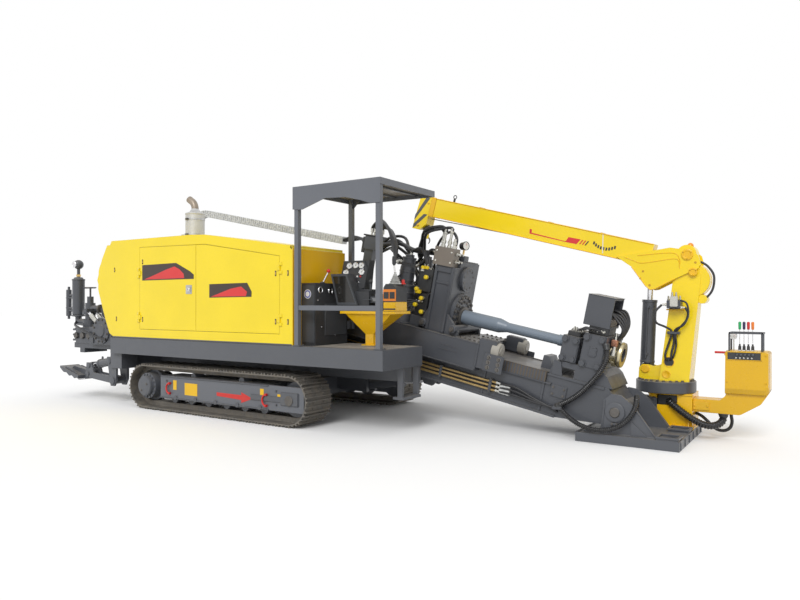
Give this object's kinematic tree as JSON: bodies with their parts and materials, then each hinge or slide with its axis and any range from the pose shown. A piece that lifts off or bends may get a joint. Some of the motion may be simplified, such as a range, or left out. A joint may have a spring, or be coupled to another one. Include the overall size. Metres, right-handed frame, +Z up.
{
  "type": "horizontal directional drill",
  "caption": "Crawler horizontal directional drilling rig with inclined rack mast, rod carriage, vise, anchor plate, loader crane, canopy and mud pump.",
  "frame": {"origin": "on the ground, in the middle of the overall length and width", "axes": "+X towards the drill's front, where the rod enters the ground, +Y to the crane's side, +Z up"},
  "size_m": [9.92, 2.5, 2.9678],
  "materials": {
    "track_steel": "worn bare steel with dried soil",
    "frame_grey": "dark grey satin paint",
    "panel_grey": "grey satin paint",
    "hood_yellow": "bright yellow gloss paint",
    "crane_yellow": "warm yellow gloss paint",
    "engine_grey": "near-black machine paint",
    "bright_steel": "heat-dulled bright steel",
    "console_grey": "dark textured paint",
    "mast_grey": "grey machine paint",
    "block_beige": "grey-beige paint",
    "rod_grey": "blue-grey paint",
    "galvanised": "galvanised, speckled",
    "chrome_rod": "polished"
  },
  "bodies": {
    "chassis": {"track_left": "track_steel", "track_right": "track_steel", "track_frame_left": "frame_grey", "track_frame_right": "frame_grey", "chassis_frame": "frame_grey", "deck": "panel_grey", "hood_shell": "hood_yellow", "engine_block": "engine_grey", "exhaust_silencer": "bright_steel", "canopy_roof": "panel_grey", "canopy_frame": "panel_grey", "operator_console": "console_grey", "operator_pedestal": "crane_yellow", "mud_pump": "frame_grey"},
    "door_rear": {"hood_door_rear": "hood_yellow"},
    "door_front": {"hood_door_front": "hood_yellow"},
    "mast": {"mast_beam": "mast_grey", "front_vise": "mast_grey"},
    "breakout": {"breakout_vise": "mast_grey"},
    "carriage": {"carriage_bed": "mast_grey", "rotary_gearbox": "mast_grey", "drive_motors": "engine_grey", "valve_manifold": "block_beige"},
    "spindle": {"drill_rod": "rod_grey"},
    "drag_hose": {"hose_carrier": "galvanised"},
    "mast_barrel": {"mast_cylinder_barrel": "frame_grey"},
    "mast_rod": {"mast_cylinder_rod": "chrome_rod"},
    "anchor": {"anchor_plate": "mast_grey", "crane_base": "crane_yellow", "crane_console": "crane_yellow"},
    "column": {"crane_column": "crane_yellow"},
    "boom": {"crane_boom": "crane_yellow"},
    "boom_tip": {"crane_boom_tip": "crane_yellow"},
    "lift_barrel": {"lift_cylinder_barrel": "frame_grey"},
    "lift_rod": {"lift_cylinder_rod": "chrome_rod"},
    "outrigger_arm_left": {"outrigger_arm_left": "frame_grey"},
    "outrigger_foot_left": {"outrigger_foot_left": "frame_grey"},
    "outrigger_barrel_left": {"outrigger_barrel_left": "frame_grey"},
    "outrigger_rod_left": {"outrigger_rod_left": "chrome_rod"},
    "outrigger_arm_right": {"outrigger_arm_right": "frame_grey"},
    "outrigger_foot_right": {"outrigger_foot_right": "frame_grey"},
    "outrigger_barrel_right": {"outrigger_barrel_right": "frame_grey"},
    "outrigger_rod_right": {"outrigger_rod_right": "chrome_rod"}
  },
  "joints": [
    {"name": "mast_tilt", "type": "hinge", "parent": "chassis", "child": "mast", "pos_m": [-0.4, 0.27, 0.8], "axis": [0, -1, 0], "range_deg": [0, 7]},
    {"name": "anchor_hinge", "type": "hinge", "parent": "mast", "child": "anchor", "pos_m": [3.634, 0.27, 0.318], "axis": [0, -1, 0], "range_deg": [-7.1, 0.1]},
    {"name": "mast_cylinder_swing", "type": "hinge", "parent": "chassis", "child": "mast_barrel", "pos_m": [0.25, 0.27, 0.34], "axis": [0, -1, 0], "range_deg": [-0.1, 10.66]},
    {"name": "mast_cylinder_stroke", "type": "slide", "parent": "mast_barrel", "child": "mast_rod", "axis": [0.9912, 0, 0.1322], "range_m": [-0.001, 0.075]},
    {"name": "carriage_slide", "type": "slide", "parent": "mast", "child": "carriage", "axis": [0.9799, 0, -0.1994], "range_m": [-2.9, 0.3]},
    {"name": "drag_hose_slide", "type": "slide", "parent": "mast", "child": "drag_hose", "axis": [0.9799, 0, -0.1994], "range_m": [-1.46, 0.16]},
    {"name": "spindle_turn", "type": "hinge", "parent": "carriage", "child": "spindle", "pos_m": [1.66587, 0.27, 1.27307], "axis": [0.9799, 0, -0.1994], "continuous": true},
    {"name": "breakout_swing", "type": "hinge", "parent": "mast", "child": "breakout", "pos_m": [3.13576, 0.27, 0.97402], "axis": [-0.9799, 0, 0.1994], "range_deg": [0, 20]},
    {"name": "door_rear_hinge", "type": "hinge", "parent": "chassis", "child": "door_rear", "pos_m": [-2.447, -1.2293, 1.6], "axis": [0, 0, -1], "range_deg": [0, 100]},
    {"name": "door_front_hinge", "type": "hinge", "parent": "chassis", "child": "door_front", "pos_m": [0.126, -1.2293, 1.6], "axis": [0, 0, 1], "range_deg": [0, 100]},
    {"name": "crane_slew", "type": "hinge", "parent": "anchor", "child": "column", "pos_m": [3.936, 0.85, 0.5], "axis": [0, 0, 1], "range_deg": [-200, 12]},
    {"name": "boom_luff", "type": "hinge", "parent": "column", "child": "boom", "pos_m": [4.165, 0.85, 1.955], "axis": [0, 1, 0], "range_deg": [0, 70]},
    {"name": "boom_extend", "type": "slide", "parent": "boom", "child": "boom_tip", "axis": [-0.9668, 0, 0.2554], "range_m": [0, 1.2]},
    {"name": "lift_cylinder_swing", "type": "hinge", "parent": "column", "child": "lift_barrel", "pos_m": [3.735, 0.85, 0.7], "axis": [0, 1, 0], "range_deg": [-2.04, 2.04]},
    {"name": "lift_cylinder_stroke", "type": "slide", "parent": "lift_barrel", "child": "lift_rod", "axis": [0.0418, 0, 0.9991], "range_m": [-0.001, 0.565]},
    {"name": "outrigger_lower_left", "type": "hinge", "parent": "chassis", "child": "outrigger_arm_left", "pos_m": [-3.148, -1.05, 0.314], "axis": [0, -1, 0], "range_deg": [0, 24]},
    {"name": "outrigger_foot_hinge_left", "type": "hinge", "parent": "outrigger_arm_left", "child": "outrigger_foot_left", "pos_m": [-3.8, -1.05, 0.372], "axis": [0, -1, 0], "range_deg": [-24.2, 0.1]},
    {"name": "outrigger_ram_swing_left", "type": "hinge", "parent": "chassis", "child": "outrigger_barrel_left", "pos_m": [-3.225, -1.05, 0.59], "axis": [0, -1, 0], "range_deg": [-0.1, 23.05]},
    {"name": "outrigger_ram_stroke_left", "type": "slide", "parent": "outrigger_barrel_left", "child": "outrigger_rod_left", "axis": [-0.9864, 0, -0.1644], "range_m": [-0.001, 0.12]},
    {"name": "outrigger_lower_right", "type": "hinge", "parent": "chassis", "child": "outrigger_arm_right", "pos_m": [-3.148, 1.05, 0.314], "axis": [0, -1, 0], "range_deg": [0, 24]},
    {"name": "outrigger_foot_hinge_right", "type": "hinge", "parent": "outrigger_arm_right", "child": "outrigger_foot_right", "pos_m": [-3.8, 1.05, 0.372], "axis": [0, -1, 0], "range_deg": [-24.2, 0.1]},
    {"name": "outrigger_ram_swing_right", "type": "hinge", "parent": "chassis", "child": "outrigger_barrel_right", "pos_m": [-3.225, 1.05, 0.59], "axis": [0, -1, 0], "range_deg": [-0.1, 23.05]},
    {"name": "outrigger_ram_stroke_right", "type": "slide", "parent": "outrigger_barrel_right", "child": "outrigger_rod_right", "axis": [-0.9864, 0, -0.1644], "range_m": [-0.001, 0.12]}
  ],
  "couplings": [
    {"joint": "anchor_hinge", "follows": "mast_tilt", "ratio": -1},
    {"joint": "mast_cylinder_swing", "follows": "mast_tilt", "ratio": 1.4854},
    {"joint": "mast_cylinder_stroke", "follows": "mast_tilt", "m_per_rad": 0.59241},
    {"joint": "drag_hose_slide", "follows": "carriage_slide", "ratio": 0.5},
    {"joint": "lift_cylinder_swing", "follows": "boom_luff", "ratio": -0.026339},
    {"joint": "lift_cylinder_stroke", "follows": "boom_luff", "m_per_rad": 0.46091},
    {"joint": "outrigger_foot_hinge_left", "follows": "outrigger_lower_left", "ratio": -1},
    {"joint": "outrigger_ram_swing_left", "follows": "outrigger_lower_left", "ratio": 0.95629},
    {"joint": "outrigger_ram_stroke_left", "follows": "outrigger_lower_left", "m_per_rad": 0.28322},
    {"joint": "outrigger_foot_hinge_right", "follows": "outrigger_lower_right", "ratio": -1},
    {"joint": "outrigger_ram_swing_right", "follows": "outrigger_lower_right", "ratio": 0.95629},
    {"joint": "outrigger_ram_stroke_right", "follows": "outrigger_lower_right", "m_per_rad": 0.28322}
  ]
}
